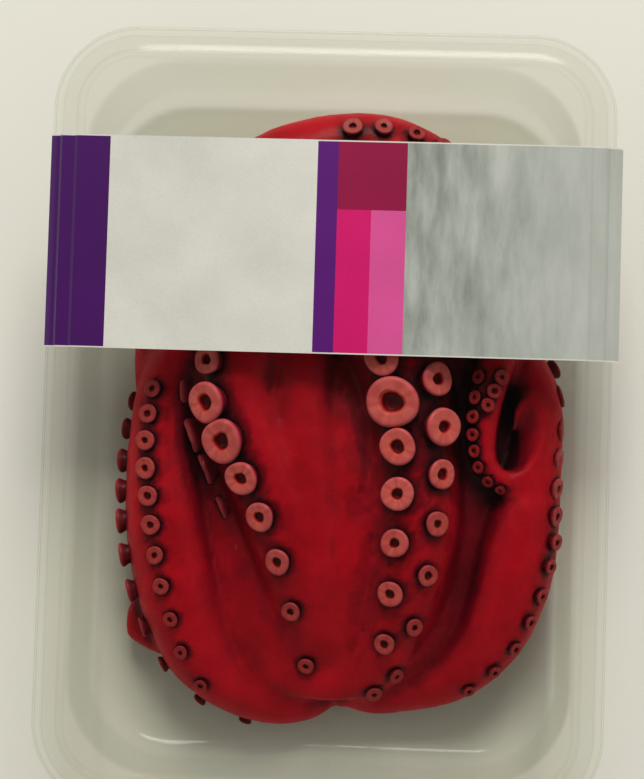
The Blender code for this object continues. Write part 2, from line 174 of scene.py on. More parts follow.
# Fleshy lobes that widen the two front arms towards each other, as paths
LOBES = {
    "front left lobe": (
        (-6, 34, 25, 12), (-9, 15, 25.5, 14), (-7.5, -5, 25, 15.5), (-5, -25, 24.5, 16),
        (-2, -45, 23, 15.5), (0, -63, 20, 14), (1, -78, 15, 11), (2, -87, 9.5, 8),
    ),
    "front right lobe": (
        (16, 20, 20, 11), (17, 0, 21, 13), (15, -20, 22, 14.5), (13, -40, 22.5, 15),
        (11, -58, 20, 14), (10, -74, 16, 11.5), (9, -86, 10.5, 8),
    ),
}

# A pointed fold of skin that lies out from under the left arm
SKIN_FOLD = ((-46, -64, 10, 15), (-58, -70, 9.5, 14), (-65, -73.5, 9, 8), (-69, -75.5, 9, 1))
SKIN_FOLD_FLATNESS = 0.42


# Octopus mesh
FLOOR_LEVEL = 1.2
CEILING = 47.6
WALL_LIMIT = 81.4
MASS_CENTRE = Vector((4.0, 2.0, 14.0))
MASS_HALF = Vector((76.0, 106.0, 32.0))
CUP_HEIGHT = 0.68
SEAT_SPANS = 8
ARM_SIDES = 28
ARM_SPANS = 8
TIP_RINGS = 4
TIP_REACH = 0.8
VOXEL = 1.2
SMOOTH_ROUNDS = 7
SMOOTH_STRENGTH = 0.5

# Camera
CAMERA_PLACE = (27.2, -34.3, 798.2)
CAMERA_TURN = (0.0600, 0.0363, 0.0306)
CAMERA_LENS = 104
CAMERA_SENSOR = 36


# Meshes

def add_object(name, mesh, surfaces):
    item = bpy.data.objects.new(name, mesh)
    bpy.context.scene.collection.objects.link(item)
    for surface in surfaces:
        mesh.materials.append(surface)
    return item


def mesh_from(name, points, faces, smooth=True):
    # Points are in millimetres
    mesh = bpy.data.meshes.new(name)
    mesh.from_pydata([(x * MM, y * MM, z * MM) for x, y, z in points], [], faces)
    mesh.validate()
    if smooth:
        mesh.shade_smooth()
    return mesh


def bridged_rings(rings, closed_ends=True):
    # Faces between rings of equal length that follow each other
    count = len(rings[0])
    points = [point for ring in rings for point in ring]
    faces = []
    for ring in range(len(rings) - 1):
        low = ring * count
        for side in range(count):
            step = (side + 1) % count
            faces.append((low + side, low + step, low + count + step, low + count + side))
    if closed_ends:
        last = (len(rings) - 1) * count
        faces.append(tuple(reversed(range(count))))
        faces.append(tuple(range(last, last + count)))
    return points, faces


def smooth_path(points, spans):
    # A smooth curve through (x, y, z, radius) points
    ends = [points[0]] + list(points) + [points[-1]]
    samples = []
    for index in range(1, len(ends) - 2):
        before, start, end, after = ends[index - 1:index + 3]
        for step in range(spans):
            t = step / spans
            samples.append(tuple(
                0.5 * (2 * b + (c - a) * t + (2 * a - 5 * b + 4 * c - d) * t ** 2
                       + (3 * b - a - 3 * c + d) * t ** 3)
                for a, b, c, d in zip(before, start, end, after)))
    samples.append(tuple(points[-1]))
    return samples


def tangents(centres):
    last = len(centres) - 1
    return [(centres[min(i + 1, last)] - centres[max(i - 1, 0)]).normalized() for i in range(last + 1)]


def tube(path, sides=ARM_SIDES, spans=ARM_SPANS, flatness=1.0):
    # A tapered round-tipped limb along the path
    samples = smooth_path(path, spans)
    centres = [Vector(sample[:3]) for sample in samples]
    radii = [sample[3] for sample in samples]
    heading = tangents(centres)
    for step in range(1, TIP_RINGS + 1):
        turn = step / (TIP_RINGS + 1) * math.pi / 2
        centres.append(centres[len(samples) - 1] + heading[len(samples) - 1]
                       * samples[-1][3] * TIP_REACH * math.sin(turn))
        radii.append(samples[-1][3] * math.cos(turn))
        heading.append(heading[len(samples) - 1])
    side = heading[0].orthogonal().normalized()
    rings = []
    for centre, radius, along in zip(centres, radii, heading):
        side = (side - along * side.dot(along)).normalized()
        across = along.cross(side)
        ring = []
        for step in range(sides):
            turn = 2 * math.pi * step / sides
            offset = (side * math.cos(turn) + across * math.sin(turn)) * radius
            offset.z *= flatness
            ring.append(centre + offset)
        rings.append(ring)
    return bridged_rings(rings)


def outward(point):
    # The direction away from the middle of the whole mass
    away = point - MASS_CENTRE
    return Vector((
        away.x / MASS_HALF.x ** 2, away.y / MASS_HALF.y ** 2, away.z / MASS_HALF.z ** 2)).normalized()


def disc_reach(share):
    # How far a disc reaches along an axis, in radii, from its share of that axis
    return CUP_HEIGHT * max(share, 0.0) + math.sqrt(1 - share * share)


def sucker_seats(path, row):
    # Where each sucker of a row sits on its arm, and the way it faces
    angle, twist, first, pitch, growth, radii = row
    samples = smooth_path(path, SEAT_SPANS)
    centres = [Vector(sample[:3]) for sample in samples]
    heading = tangents(centres)
    travelled = [0.0]
    for before, after in zip(centres, centres[1:]):
        travelled.append(travelled[-1] + (after - before).length)
    seats = []
    for count, radius in enumerate(radii):
        wanted = first + count * pitch + count * count * growth
        if wanted >= travelled[-1]:
            break
        index = next(i for i, distance in enumerate(travelled) if distance > wanted)
        share = (wanted - travelled[index - 1]) / (travelled[index] - travelled[index - 1])
        centre = centres[index - 1].lerp(centres[index], share)
        along = heading[index - 1].lerp(heading[index], share).normalized()
        arm_radius = samples[index - 1][3] + share * (samples[index][3] - samples[index - 1][3])
        up = outward(centre)
        up = (up - along * up.dot(along)).normalized()
        turn = math.radians(angle + twist * count)
        axis = up * math.cos(turn) + along.cross(up) * math.sin(turn)
        base = centre + axis * arm_radius
        base.z -= max(0.0, base.z + disc_reach(axis.z) * radius - CEILING)
        base.x -= max(0.0, base.x + disc_reach(axis.x) * radius - WALL_LIMIT)
        if base.z - radius > FLOOR_LEVEL:
            seats.append((base, axis, radius))
    return seats


def ball(centre, half_sizes, around=48, down=24):
    rings = []
    for ring in range(1, down):
        polar = math.pi * ring / down
        rings.append([
            Vector(centre) + Vector((
                half_sizes[0] * math.sin(polar) * math.cos(2 * math.pi * step / around),
                half_sizes[1] * math.sin(polar) * math.sin(2 * math.pi * step / around),
                half_sizes[2] * math.cos(polar)))
            for step in range(around)])
    return bridged_rings(rings)


def joined(shapes):
    points = []
    faces = []
    for more_points, more_faces in shapes:
        base = len(points)
        points += more_points
        faces += [tuple(base + corner for corner in face) for face in more_faces]
    return points, faces


# Node materials

def ink(red, green, blue):
    # A colour as a screen shows it, 0 to 255, turned into linear light
    def linear(value):
        share = value / 255
        return share / 12.92 if share <= 0.04045 else ((share + 0.055) / 1.055) ** 2.4
    return linear(red), linear(green), linear(blue), 1.0


class Nodes:
    # A material's node tree, with short calls that add and link nodes

    def __init__(self, name):
        self.surface = bpy.data.materials.new(name)
        self.surface.use_nodes = True
        self.tree = self.surface.node_tree
        self.tree.nodes.clear()
        self.output = self.tree.nodes.new("ShaderNodeOutputMaterial")

    def add(self, kind, inputs=None, **settings):
        node = self.tree.nodes.new("ShaderNode" + kind)
        for key, value in settings.items():
            setattr(node, key, value)
        for key, value in (inputs or {}).items():
            if isinstance(value, bpy.types.NodeSocket):
                self.tree.links.new(value, node.inputs[key])
            else:
                node.inputs[key].default_value = value
        return node

    def place(self):
        return self.add("TexCoord").outputs["Object"]

    def attribute(self, name):
        return self.add("Attribute", attribute_name=name).outputs["Fac"]

    def noise(self, scale, detail=2.0, roughness=0.5, stretch=None):
        # Object coordinates are metres, so scale counts features in a metre
        place = self.place()
        if stretch:
            place = self.add("Mapping", {"Vector": place, "Scale": stretch}).outputs["Vector"]
        return self.add("TexNoise", {
            "Vector": place, "Scale": scale, "Detail": detail, "Roughness": roughness}).outputs["Fac"]

    def ramp(self, value, stops, interpolation="LINEAR"):
        node = self.add("ValToRGB", {"Fac": value})
        node.color_ramp.interpolation = interpolation
        elements = node.color_ramp.elements
        while len(elements) < len(stops):
            elements.new(0.5)
        for element, (position, colour) in zip(elements, stops):
            element.position = position
            element.color = colour if isinstance(colour, tuple) else (colour, colour, colour, 1.0)
        return node.outputs["Color"]

    def math(self, operation, first, second=0.0):
        return self.add("Math", {0: first, 1: second}, operation=operation).outputs[0]

    def mix(self, share, first, second, blend="MIX"):
        node = self.add("Mix", data_type="RGBA", blend_type=blend)
        for index, value in ((0, share), (6, first), (7, second)):
            if isinstance(value, bpy.types.NodeSocket):
                self.tree.links.new(value, node.inputs[index])
            else:
                node.inputs[index].default_value = value
        return node.outputs[2]

    def bump(self, height, strength, distance, normal=None):
        inputs = {"Height": height, "Strength": strength, "Distance": distance * MM}
        if normal:
            inputs["Normal"] = normal
        return self.add("Bump", inputs).outputs["Normal"]

    def finish(self, shader):
        self.tree.links.new(shader, self.output.inputs["Surface"])
        return self.surface


def flesh_material():
    nodes = Nodes("octopus_flesh")
    openness_for_painted_shade = nodes.attribute("openness")
    mottle = nodes.noise(70, 4.0, 0.6)
    fine = nodes.noise(900, 3.0, 0.6)
    # Painted shade: the flesh is painted darker the less open it is, nearly black in deep grooves between the arms
    # and round the suckers' feet; the open end is the flesh's own red
    base = nodes.ramp(openness_for_painted_shade, (
        (0.25, ink(10, 0, 4)), (0.62, ink(52, 0, 10)), (0.84, ink(122, 0, 18)), (0.98, ink(186, 8, 28))))
    tint = nodes.ramp(mottle, ((0.32, ink(214, 190, 205)), (0.66, ink(255, 255, 255))))
    colour = nodes.mix(1.0, base, tint, "MULTIPLY")
    speck = nodes.ramp(fine, ((0.35, ink(225, 215, 220)), (0.65, ink(255, 255, 255))))
    colour = nodes.mix(0.5, colour, speck, "MULTIPLY")
    normal = nodes.bump(nodes.noise(1400, 4.0, 0.6), 0.2, 0.2)
    normal = nodes.bump(nodes.noise(240, 3.0, 0.5), 0.25, 0.6, normal)
    shader = nodes.add("BsdfPrincipled", {
        "Base Color": colour, "Roughness": 0.5, "Normal": normal,
        "Subsurface Weight": 0.5, "Subsurface Radius": (1.0, 0.12, 0.10), "Subsurface Scale": 3.0 * MM,
        "Specular IOR Level": 0.08, "Coat Weight": 0.06, "Coat Roughness": 0.08})
    return nodes.finish(shader.outputs["BSDF"])


def sucker_material():
    nodes = Nodes("octopus_suckers")
    station = nodes.attribute("station")
    tone = nodes.attribute("tone")
    streak = nodes.attribute("streak")
    # Along the profile: the foot is a darker wine red, partly the flesh's own colour and partly painted shade where
    # it meets the flesh; the ring and disc are salmon; the hole is dark red, painted darker towards its bottom as
    # shade in the recess
    base = nodes.ramp(station, (
        (0.0, ink(80, 0, 18)), (0.16, ink(128, 10, 36)), (0.25, ink(168, 48, 70)), (0.34, ink(206, 96, 96)),
        (0.60, ink(214, 104, 92)), (0.69, ink(196, 60, 54)), (0.75, ink(136, 4, 12)), (1.0, ink(84, 0, 6))))
    shade = nodes.ramp(streak, ((0.25, ink(232, 205, 205)), (0.75, ink(255, 255, 255))))
    colour = nodes.mix(1.0, base, shade, "MULTIPLY")
    # Painted light and shade: suckers that face up are painted brighter and those turned aside are painted darker;
    # small suckers are darker too
    painted_shade_by_facing_and_size = nodes.ramp(tone, ((0.0, ink(176, 80, 96)), (1.0, ink(255, 255, 255))))
    colour = nodes.mix(1.0, colour, painted_shade_by_facing_and_size, "MULTIPLY")
    normal = nodes.bump(nodes.noise(1500, 3.0, 0.6), 0.3, 0.2)
    shader = nodes.add("BsdfPrincipled", {
        "Base Color": colour, "Roughness": 0.5, "Normal": normal,
        "Subsurface Weight": 0.4, "Subsurface Radius": (1.0, 0.3, 0.22), "Subsurface Scale": 1.5 * MM,
        "Specular IOR Level": 0.15, "Coat Weight": 0.08, "Coat Roughness": 0.12})
    return nodes.finish(shader.outputs["BSDF"])


# The octopus's flesh
RAYS = 18
RAY_REACH = 30.0
RAY_LIFT = 0.3

def vertex_places(mesh):
    places = np.empty(len(mesh.vertices) * 3)
    mesh.vertices.foreach_get("co", places)
    return places.reshape(-1, 3)


def set_places(mesh, places):
    mesh.vertices.foreach_set("co", places.ravel())
    mesh.update()


def vertex_normals(mesh):
    normals = np.empty(len(mesh.vertices) * 3, np.float32)
    mesh.vertex_normals.foreach_get("vector", normals)
    return normals.reshape(-1, 3).astype(float)


def neighbour_means(mesh):
    # A function that gives, for each vertex, the mean of its neighbours' values
    edges = np.empty(len(mesh.edges) * 2, np.int64)
    mesh.edges.foreach_get("vertices", edges)
    starts, ends = edges.reshape(-1, 2).T
    count = len(mesh.vertices)
    degree = np.bincount(starts, minlength=count) + np.bincount(ends, minlength=count)

    def means(values):
        columns = []
        for column in values.T:
            total = np.bincount(starts, column[ends], count) + np.bincount(ends, column[starts], count)
            columns.append(total / np.maximum(degree, 1))
        return np.stack(columns, axis=1)
    return means


def set_attribute(mesh, name, values):
    layer = mesh.attributes.new(name, "FLOAT", "POINT")
    layer.data.foreach_set("value", np.asarray(values, np.float32))


def remeshed(item, size):
    remesh = item.modifiers.new("remesh", "REMESH")
    remesh.mode = "VOXEL"
    remesh.voxel_size = size * MM
    evaluated = item.evaluated_get(bpy.context.evaluated_depsgraph_get())
    fresh = bpy.data.meshes.new_from_object(evaluated)
    item.modifiers.clear()
    item.data = fresh
    return fresh


def keep_largest_shell(mesh):
    build = bmesh.new()
    build.from_mesh(mesh)
    left = set(build.verts)
    shells = []
    while left:
        reached = {left.pop()}
        front = list(reached)
        while front:
            vert = front.pop()
            for edge in vert.link_edges:
                other = edge.other_vert(vert)
                if other not in reached:
                    reached.add(other)
                    front.append(other)
        left -= reached
        shells.append(reached)
    shells.sort(key=len)
    for shell in shells[:-1]:
        bmesh.ops.delete(build, geom=list(shell), context="VERTS")
    build.to_mesh(mesh)
    build.free()


def openness(mesh, blockers):
    # How open each vertex is to its surroundings, from 0 in a deep groove to 1; the flesh's colour turns this into
    # painted shade
    points = []
    faces = []
    for item in blockers:
        base = len(points)
        points += [vertex.co.copy() for vertex in item.data.vertices]
        faces += [[base + index for index in polygon.vertices] for polygon in item.data.polygons]
    tree = BVHTree.FromPolygons(points, faces)
    ways = []
    for index in range(RAYS):
        lift = math.sqrt((index + 0.5) / RAYS)
        turn = index * math.pi * (3 - math.sqrt(5))
        ways.append((math.sqrt(1 - lift * lift) * math.cos(turn), math.sqrt(1 - lift * lift) * math.sin(turn), lift))
    values = []
    for vertex in mesh.vertices:
        up = vertex.normal
        side = up.orthogonal().normalized()
        across = up.cross(side)
        start = vertex.co + up * RAY_LIFT * MM
        open_share = 0.0
        for x, y, z in ways:
            hit = tree.ray_cast(start, side * x + across * y + up * z, RAY_REACH * MM)[3]
            open_share += 1.0 if hit is None else hit / (RAY_REACH * MM)
        values.append(open_share / RAYS)
    return np.array(values)


def make_flesh(surface):
    shapes = [ball(*mass) for mass in MASSES.values()]
    shapes.append(tube(SKIN_FOLD, flatness=SKIN_FOLD_FLATNESS))
    shapes += [tube(arm["path"]) for arm in ARMS.values()]
    shapes += [tube(path) for path in LOBES.values()]
    flesh = add_object("octopus_flesh", mesh_from("octopus_flesh", *joined(shapes)), [])
    mesh = remeshed(flesh, VOXEL)
    keep_largest_shell(mesh)
    means = neighbour_means(mesh)
    places = vertex_places(mesh)
    for turn in range(SMOOTH_ROUNDS):
        places += (means(places) - places) * SMOOTH_STRENGTH
    soft = places.copy()
    for turn in range(60):
        soft += (means(soft) - soft) * 0.6
    set_places(mesh, places)
    normals = vertex_normals(mesh)
    height = ((places - soft) * normals).sum(axis=1) / MM
    set_attribute(mesh, "ridge", np.clip(0.5 + height / 3.0, 0, 1))
    relief = []
    for place in places:
        spot = Vector(place) / MM
        relief.append(0.35 * noise.noise(spot / 11) + 0.12 * noise.noise(spot / 3.5))
    set_places(mesh, places + normals * np.array(relief)[:, None] * MM)
    mesh.shade_smooth()
    mesh.materials.clear()
    mesh.materials.append(surface)
    return flesh


# Suckers. The profile runs from the foot up the outside, over the thick ring,
# across the disc and down the hole, as (height, radius) in shares of the radius.
SUCKER_PROFILE = (
    (-0.55, 0.74), (-0.20, 0.75), (0.10, 0.80), (0.34, 0.93), (0.50, 1.0), (0.62, 0.985), (0.70, 0.91),
    (0.715, 0.80), (0.70, 0.68), (0.69, 0.56), (0.68, 0.44), (0.63, 0.375), (0.48, 0.335),
    (0.36, 0.32), (0.27, 0.28), (0.25, 0.16), (0.25, 0.03))


def smooth_profile(points, spans):
    padded = [(height, share, 0, 0) for height, share in points]
    return [(sample[0], sample[1]) for sample in smooth_path(padded, spans)]


def sucker_shape(base, axis, radius, rng):
    sides = 40 if radius > 4.6 else 28 if radius > 3.2 else 20
    spans = 2
    profile = smooth_profile(SUCKER_PROFILE, spans)
    side = axis.orthogonal().normalized()
    across = axis.cross(side)
    phases = [rng.uniform(0, 2 * math.pi) for turn in range(4)]
    sizes = [rng.uniform(0.01, 0.035), rng.uniform(0.008, 0.025), rng.uniform(0.005, 0.015)]
    hole = rng.uniform(0.85, 1.15)
    seed = rng.uniform(0, 100)
    rings = []
    stations = []
    streaks = []
    for index, (height, share) in enumerate(profile):
        inner = index / (len(profile) - 1)
        ring = []
        for step in range(sides):
            turn = 2 * math.pi * step / sides
            wave = sum(size * math.sin((order + 2) * turn + phase)
                       for order, (size, phase) in enumerate(zip(sizes, phases)))
            reach = share * (1 + wave * (1 if inner < 0.6 else 2.5))
            if inner > 0.62:
                reach *= hole
            streak = noise.noise(Vector((math.cos(turn) * 3.2, math.sin(turn) * 3.2, seed)))
            lift = height + 0.02 * streak * (0.35 < inner < 0.75)
            offset = side * math.cos(turn) + across * math.sin(turn)
            ring.append(base + axis * lift * radius + offset * reach * radius)
            stations.append(inner)
            streaks.append(0.5 + 0.5 * streak)
        rings.append(ring)
    points, faces = bridged_rings(rings)
    return points, faces, stations, streaks


def make_suckers(surface):
    rng = random.Random(7)
    shapes = []
    stations = []
    streaks = []
    painted_light_and_size_shares = []
    for arm in ARMS.values():
        for row in arm["rows"]:
            for base, axis, radius in sucker_seats(arm["path"], row):
                points, faces, more_stations, more_streaks = sucker_shape(base, axis, radius, rng)
                shapes.append((points, faces))
                stations += more_stations
                streaks += more_streaks
                # The tone: larger for big suckers, and larger for suckers that face up, as painted light
                painted_light_and_size_share = min(1.0, max(0.0, (radius - 2.2) / 3.4)) * (0.35 + 0.65 * max(0.0, axis.z))
                painted_light_and_size_shares += [painted_light_and_size_share] * len(points)
    mesh = mesh_from("octopus_suckers", *joined(shapes))
    set_attribute(mesh, "station", stations)
    set_attribute(mesh, "streak", streaks)
    set_attribute(mesh, "tone", painted_light_and_size_shares)
    return add_object("octopus_suckers", mesh, [surface])


# The clear tray

TRAY_WALL = 0.7
RIM_HEIGHT = 48.0
RIM_CORNER = 28.4
SKIRT_HEIGHT = 3.2
LIP_WIDTH = 3.0
LIP_DROP = 0.8
LIP_ROUND = 0.6
LIP_STEP_RUN = 0.4
BEAD_START = 8.2
BEAD_WIDTH = 2.8
BEAD_HEIGHT = 0.7
BEAD_SLOPE = 0.7
BEAD_DIP = 0.3
CAVITY_INSET = 11.4
CAVITY_CORNER = 32.0
CAVITY_ROLL = ((0.0, 1.0), (0.5, 2.2))
WALL_LEAN = 2.6
FLOOR_FILLET = 8.0
FILLET_TIGHTENING = 5.6
CORNER_STEPS = 18
SIDE_STEPS = 30
FLOOR_RINGS = 6

SHEET_GAP = 0.3
FILM_THICKNESS = 0.2
FILM_INSET = 3.4
FILM_BEND = 0.4
FILM_EDGE_STRIP = 6.0
LABEL_THICKNESS = 0.25
LABEL_TURN_DOWN = 2.6
LABEL_EDGE_BEND = 0.5
LABEL_STEP_RUN = 1.2


def rim_outline(inset, corner, height):
    # A rounded rectangle set in from the tray's outer edge, with points along its sides
    half_x = TRAY_WIDTH / 2 - inset
    half_y = TRAY_LENGTH / 2 - inset
    corners = ((1, 1), (-1, 1), (-1, -1), (1, -1))
    outline = []
    for quarter, (side_x, side_y) in enumerate(corners):
        for step in range(CORNER_STEPS + 1):
            turn = math.radians(90 * (quarter + step / CORNER_STEPS))
            outline.append(Vector((
                side_x * (half_x - corner) + corner * math.cos(turn),
                side_y * (half_y - corner) + corner * math.sin(turn),
                height)))
        next_x, next_y = corners[(quarter + 1) % 4]
        turn = math.radians(90 * (quarter + 1))
        end = Vector((
            next_x * (half_x - corner) + corner * math.cos(turn),
            next_y * (half_y - corner) + corner * math.sin(turn),
            height))
        start = outline[-1]
        outline += [start.lerp(end, step / SIDE_STEPS) for step in range(1, SIDE_STEPS)]
    return outline


def rim_station(inset, height):
    return inset, RIM_CORNER - inset, height


def tray_section():
    # The tray's upper side from the skirt's foot in to the floor, as stations of
    # (inset, corner radius, height)
    lip_top = RIM_HEIGHT - LIP_DROP
    bead_top = RIM_HEIGHT + BEAD_HEIGHT
    bead_end = BEAD_START + BEAD_WIDTH
    section = [rim_station(0.0, RIM_HEIGHT - SKIRT_HEIGHT)]
    for turn in (0, 30, 60, 90):
        angle = math.radians(turn)
        section.append(rim_station(
            LIP_ROUND * (1 - math.cos(angle)), lip_top - LIP_ROUND * (1 - math.sin(angle))))
    section += [
        rim_station(LIP_WIDTH - LIP_STEP_RUN, lip_top),
        rim_station(LIP_WIDTH - LIP_STEP_RUN * 0.4, (lip_top + RIM_HEIGHT) / 2 + 0.15),
        rim_station(LIP_WIDTH, RIM_HEIGHT),
        rim_station(BEAD_START - 0.2, RIM_HEIGHT),
    ]
    for share in (0.25, 0.5, 0.75, 1.0):
        section.append(rim_station(
            BEAD_START + BEAD_SLOPE * share, RIM_HEIGHT + BEAD_HEIGHT * math.sin(share * math.pi / 2)))
    section.append(rim_station((BEAD_START + bead_end) / 2, bead_top + 0.04))
    for share in (0.0, 0.35, 0.7, 1.0):
        section.append(rim_station(
            bead_end - BEAD_SLOPE * (1 - share),
            bead_top - (BEAD_HEIGHT + BEAD_DIP) * (1 - math.cos(share * math.pi / 2))))
    for inset, drop in CAVITY_ROLL:
        section.append((CAVITY_INSET + inset, CAVITY_CORNER - inset, RIM_HEIGHT - drop))
    wall_steps = 10
    top_inset, top_drop = CAVITY_ROLL[-1]
    for step in range(1, wall_steps):
        share = step / wall_steps
        low = TRAY_WALL + FLOOR_FILLET
        section.append((
            CAVITY_INSET + top_inset + (WALL_LEAN - top_inset) * share,
            CAVITY_CORNER - top_inset - (WALL_LEAN - top_inset) * share,
            (RIM_HEIGHT - top_drop) * (1 - share) + low * share))
    for step in range(9):
        share = step / 8
        turn = share * math.pi / 2
        section.append((
            CAVITY_INSET + WALL_LEAN + FLOOR_FILLET * (1 - math.cos(turn)),
            CAVITY_CORNER - WALL_LEAN - FILLET_TIGHTENING * share,
            TRAY_WALL + FLOOR_FILLET * (1 - math.sin(turn))))
    fillet_end = CAVITY_INSET + WALL_LEAN + FLOOR_FILLET
    for step in range(1, FLOOR_RINGS + 1):
        share = step / (FLOOR_RINGS + 1)
        section.append((
            fillet_end + (TRAY_WIDTH / 2 - fillet_end) * share,
            (CAVITY_CORNER - WALL_LEAN - FILLET_TIGHTENING) * (1 - share) + share,
            TRAY_WALL))
    return section


def underside(section, thickness):
    # The same section one wall's thickness below, measured square to the wall
    shifted = []
    for index, (inset, corner, height) in enumerate(section):
        normals = []
        for start, end in ((index - 1, index), (index, index + 1)):
            if start < 0 or end >= len(section):
                continue
            run = section[end][0] - section[start][0]
            rise = section[end][2] - section[start][2]
            length = math.hypot(run, rise)
            normals.append((rise / length, -run / length))
        if len(normals) == 1:
            normals *= 2
        across = (normals[0][0] + normals[1][0]) / 2
        down = (normals[0][1] + normals[1][1]) / 2
        stretch = thickness / (across ** 2 + down ** 2)
        shifted.append((inset + across * stretch, corner - across * stretch, height + down * stretch))
    return shifted


def clear_material(name, tint, edge_tint, veil, veil_shares, gloss, roughness):
    # Clear plastic: light passes through, steep walls look denser, and gloss grows
    # towards the edges
    nodes = Nodes(name)
    facing = nodes.add("LayerWeight", {"Blend": 0.35}).outputs["Facing"]
    normal = nodes.bump(nodes.noise(60, 2.0, 0.5), 0.08, 1.0)
    clear = nodes.add("BsdfTransparent", {"Color": nodes.ramp(facing, ((0.0, tint), (1.0, edge_tint)))})
    cloud = nodes.add("BsdfTranslucent", {"Color": veil})
    white = nodes.add("BsdfDiffuse", {"Color": veil})
    body = nodes.add("MixShader", {0: 0.5, 1: cloud.outputs[0], 2: white.outputs[0]})
    share = nodes.ramp(facing, ((0.0, veil_shares[0]), (0.55, veil_shares[1]), (1.0, veil_shares[2])))
    through = nodes.add("MixShader", {0: share, 1: clear.outputs[0], 2: body.outputs[0]})
    shiny = nodes.add("BsdfGlossy", {"Color": (1, 1, 1, 1), "Roughness": roughness, "Normal": normal})
    shine = nodes.ramp(facing, ((0.0, gloss[0]), (0.6, gloss[1]), (1.0, gloss[2])))
    shader = nodes.add("MixShader", {0: shine, 1: through.outputs[0], 2: shiny.outputs[0]})
    return nodes.finish(shader.outputs[0])


def make_tray(surface):
    upper = tray_section()
    under = underside(upper, TRAY_WALL)
    loops = [rim_outline(*station) for station in reversed(under)]
    loops += [rim_outline(*station) for station in upper]
    points, faces = bridged_rings(loops)
    mesh = mesh_from("tray_shell", points, faces)
    mesh.set_sharp_from_angle(angle=math.radians(40))
    return add_object("tray_shell", mesh, [surface])


def film_stations(offset):
    low = RIM_HEIGHT + offset
    high = low + BEAD_HEIGHT
    return [
        rim_station(FILM_INSET, low),
        rim_station(BEAD_START - FILM_BEND, low),
        rim_station(BEAD_START, (low + high) / 2),
        rim_station(BEAD_START + FILM_BEND, high),
        (CAVITY_INSET + FILM_EDGE_STRIP, RIM_CORNER - CAVITY_INSET, high),
    ]


def make_film(surface):
    lower = [rim_outline(*station) for station in reversed(film_stations(SHEET_GAP))]
    upper = [rim_outline(*station) for station in film_stations(SHEET_GAP + FILM_THICKNESS)]
    points, faces = bridged_rings(lower + upper)
    mesh = mesh_from("film_sheet", points, faces)
    mesh.set_sharp_from_angle(angle=math.radians(40))
    return add_object("film_sheet", mesh, [surface])


# The label

def label_bends():
    on_lip = RIM_HEIGHT - LIP_DROP + SHEET_GAP
    on_flange = RIM_HEIGHT + FILM_THICKNESS + 2 * SHEET_GAP
    on_film = on_flange + BEAD_HEIGHT
    return (
        (-LIP_WIDTH, on_lip - LABEL_TURN_DOWN),
        (-LABEL_EDGE_BEND, on_lip - LABEL_EDGE_BEND),
        (LABEL_EDGE_BEND, on_lip),
        (FILM_INSET - LABEL_STEP_RUN, on_lip),
        (FILM_INSET, on_flange),
        (BEAD_START - LABEL_EDGE_BEND, on_flange),
        (BEAD_START + LABEL_EDGE_BEND, on_film),
        (TRAY_WIDTH / 2, on_film),
    )


def label_height(x):
    inset = TRAY_WIDTH / 2 - abs(x)
    bends = label_bends()
    for (start, low), (end, high) in zip(bends, bends[1:]):
        if inset <= end:
            share = (inset - start) / (end - start)
            return low + share * (high - low)
    return bends[-1][1]


# The label's fields, in millimetres from its left edge and from its front edge
VIOLET_WIDTH = 20.3
PURPLE_STRIP = (90.3, 97.3)
MAGENTA_COLUMN = (97.3, 120.4)
COLUMN_MIDDLE = 108.7
COLUMN_STEP = 48.6
PAPER_EDGE = 0.45


def paper_material(name, colour, roughness=0.34, bump=0.12):
    nodes = Nodes(name)
    tone = nodes.ramp(nodes.noise(35, 3.0, 0.5), ((0.3, ink(238, 238, 238)), (0.7, ink(255, 255, 255))))
    fleck = nodes.ramp(nodes.noise(2600, 2.0, 0.6), ((0.35, ink(244, 244, 244)), (0.65, ink(255, 255, 255))))
    shade = nodes.mix(1.0, colour, tone, "MULTIPLY")
    shade = nodes.mix(1.0, shade, fleck, "MULTIPLY")
    normal = nodes.bump(nodes.noise(26, 2.0, 0.5), bump, 0.8)
    normal = nodes.bump(nodes.noise(2600, 2.0, 0.6), 0.08, 0.05, normal)
    shader = nodes.add("BsdfPrincipled", {
        "Base Color": shade, "Roughness": roughness, "Normal": normal, "Specular IOR Level": 0.5,
        "Coat Weight": 0.3, "Coat Roughness": 0.12})
    return nodes.finish(shader.outputs["BSDF"])


def ripple_material():
    # Soft grey streaks that wander along the label's short side
    nodes = Nodes("label_ripple")
    long_streak = nodes.noise(1.0, 5.0, 0.62, (150, 38, 1))
    broad = nodes.noise(1.0, 3.0, 0.5, (42, 14, 1))
    both = nodes.mix(0.42, long_streak, broad)
    colour = nodes.ramp(both, (
        (0.30, ink(96, 100, 92)), (0.44, ink(142, 147, 138)), (0.56, ink(172, 176, 168)), (0.72, ink(206, 208, 200))))
    separate = nodes.add("SeparateXYZ", {"Vector": nodes.place()})
    fade = nodes.math("MULTIPLY", separate.outputs["X"], 1 / 0.09)
    colour = nodes.mix(nodes.ramp(fade, ((0.25, 0.0), (1.0, 0.75))), colour, ink(184, 187, 178))
    shader = nodes.add("BsdfPrincipled", {
        "Base Color": colour, "Roughness": 0.34,
        "Normal": nodes.bump(nodes.noise(26, 2.0, 0.5), 0.12, 0.8),
        "Specular IOR Level": 0.5, "Coat Weight": 0.3, "Coat Roughness": 0.12})
    return nodes.finish(shader.outputs["BSDF"])


LABEL_COLOURS = {
    "label_paper": ink(226, 224, 214),
    "label_violet": ink(70, 4, 96),
    "label_purple": ink(92, 12, 118),
    "label_crimson": ink(150, 4, 66),
    "label_pink": ink(216, 12, 108),
    "label_rose": ink(224, 84, 154),
}


